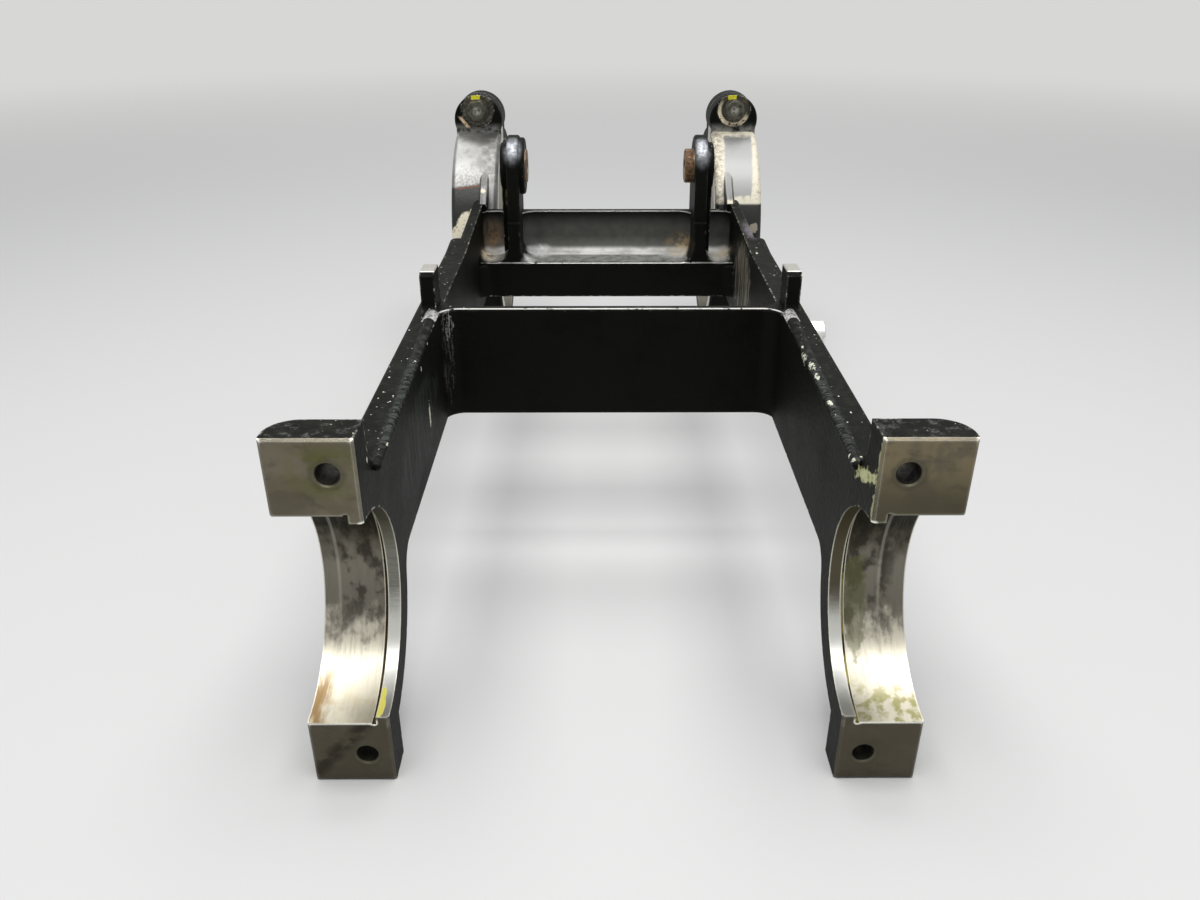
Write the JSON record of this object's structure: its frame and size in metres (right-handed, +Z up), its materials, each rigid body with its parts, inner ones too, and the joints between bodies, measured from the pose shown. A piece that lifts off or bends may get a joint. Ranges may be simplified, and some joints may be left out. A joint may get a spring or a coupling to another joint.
{
  "type": "belt drive spacing frame",
  "caption": "Cast frame of a helicopter belt drive: rails on cross-members, open bearing saddles at one end, capped bearing arms and pivot ears at the other.",
  "frame": {"origin": "centre of the footprint, on the surface that the frame rests on", "axes": "+Z up, -Y towards the open near saddles, X along the bearing axes"},
  "size_m": [0.231, 0.5386, 0.196],
  "materials": {
    "black_casting": "satin black paint over cast aluminium, machined bare on the saddle faces and seats, worn bright at the edges",
    "steel_sleeve": "bare turned steel",
    "bush_bronze": "dull bronze with rusty stain",
    "plated_fasteners": "dull cadmium plate with paint overspray"
  },
  "bodies": {
    "root": {"frame_casting": "black_casting", "side_sleeve": "steel_sleeve", "far_cap_right": "black_casting", "ear_bush_right": "bush_bronze", "cap_bolt_upper_right": "plated_fasteners", "cap_nut_upper_right": "plated_fasteners", "head_washer_upper_right": "plated_fasteners", "nut_washer_upper_right": "plated_fasteners", "cap_bolt_lower_right": "plated_fasteners", "cap_nut_lower_right": "plated_fasteners", "head_washer_lower_right": "plated_fasteners", "nut_washer_lower_right": "plated_fasteners", "far_cap_left": "black_casting", "ear_bush_left": "bush_bronze", "cap_bolt_upper_left": "plated_fasteners", "cap_nut_upper_left": "plated_fasteners", "head_washer_upper_left": "plated_fasteners", "nut_washer_upper_left": "plated_fasteners", "cap_bolt_lower_left": "plated_fasteners", "cap_nut_lower_left": "plated_fasteners", "head_washer_lower_left": "plated_fasteners", "nut_washer_lower_left": "plated_fasteners"}
  },
  "joints": []
}
